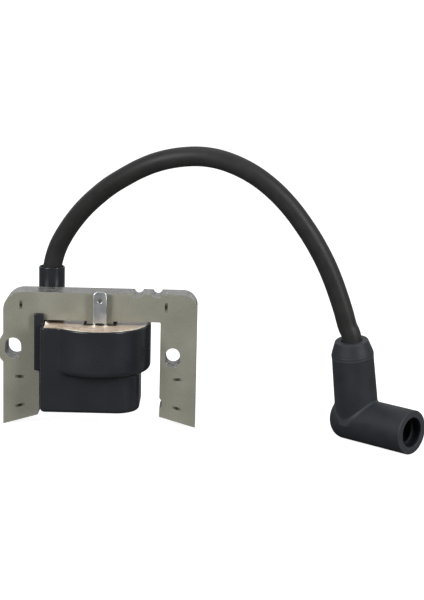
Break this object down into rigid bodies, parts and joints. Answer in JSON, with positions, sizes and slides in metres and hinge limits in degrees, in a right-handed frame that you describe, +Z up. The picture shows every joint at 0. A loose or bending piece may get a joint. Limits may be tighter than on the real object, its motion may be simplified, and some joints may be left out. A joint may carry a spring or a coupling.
{
  "type": "ignition coil",
  "caption": "Small-engine ignition module: laminated E core, potted coil in a plastic cup, stop terminal, and a lead to a right-angle spark-plug boot.",
  "frame": {"origin": "middle of the module's footprint, without the lead and boot, on the surface that the two pole tips stand on", "axes": "+Z up from the pole tips to the crossbar, +X to the right across the core towards the boot, +Y to the back of the cup, where the tower is"},
  "size_m": [0.1509, 0.0556, 0.1028],
  "materials": {
    "core_steel": "cold-rolled electrical steel, olive-grey, satin",
    "cup_plastic": "black glass-filled polyester, semi-gloss",
    "resin": "tan cast epoxy, glossy meniscus",
    "bobbin_plastic": "black nylon",
    "copper": "enamelled copper wire",
    "tinned": "tinned sheet, satin bright",
    "brass_pin": "drawn brass",
    "board": "green glass-epoxy board",
    "film": "dipped film capacitor",
    "component_epoxy": "black moulded component case",
    "resistor_body": "painted ceramic",
    "jacket": "black extruded lead jacket, dull satin",
    "boot_rubber": "blue-black moulded rubber, matt"
  },
  "bodies": {
    "module": {"core_lamination_01": "core_steel", "core_lamination_02": "core_steel", "core_lamination_03": "core_steel", "core_lamination_04": "core_steel", "core_lamination_05": "core_steel", "core_lamination_06": "core_steel", "core_lamination_07": "core_steel", "core_lamination_08": "core_steel", "core_lamination_09": "core_steel", "core_lamination_10": "core_steel", "core_lamination_11": "core_steel", "core_lamination_12": "core_steel", "core_lamination_13": "core_steel", "core_lamination_14": "core_steel", "core_lamination_15": "core_steel", "core_lamination_16": "core_steel", "core_lamination_17": "core_steel", "coil_cup": "cup_plastic", "potting": "resin", "transformer_bobbin": "bobbin_plastic", "primary_winding": "copper", "secondary_bobbin": "bobbin_plastic", "secondary_winding_1": "copper", "secondary_winding_2": "copper", "secondary_winding_3": "copper", "charge_bobbin": "bobbin_plastic", "charge_winding": "copper", "trigger_core": "core_steel", "trigger_winding": "copper", "circuit_board": "board", "storage_capacitor": "film", "thyristor": "component_epoxy", "charge_diode": "component_epoxy", "clamp_diode": "component_epoxy", "gate_resistor": "resistor_body", "kill_terminal": "tinned", "kill_wire": "copper", "earth_strip": "tinned", "high_tension_pin": "brass_pin", "lead_jacket": "jacket", "lead_conductor": "copper"},
    "boot": {"plug_boot": "boot_rubber", "plug_clip": "tinned"}
  },
  "joints": [
    {"name": "boot_swivel", "type": "hinge", "parent": "module", "child": "boot", "pos_m": [0.09305, -0.0154, 0.00775], "axis": [-0.1198, -0.128, 0.9845], "continuous": true}
  ]
}
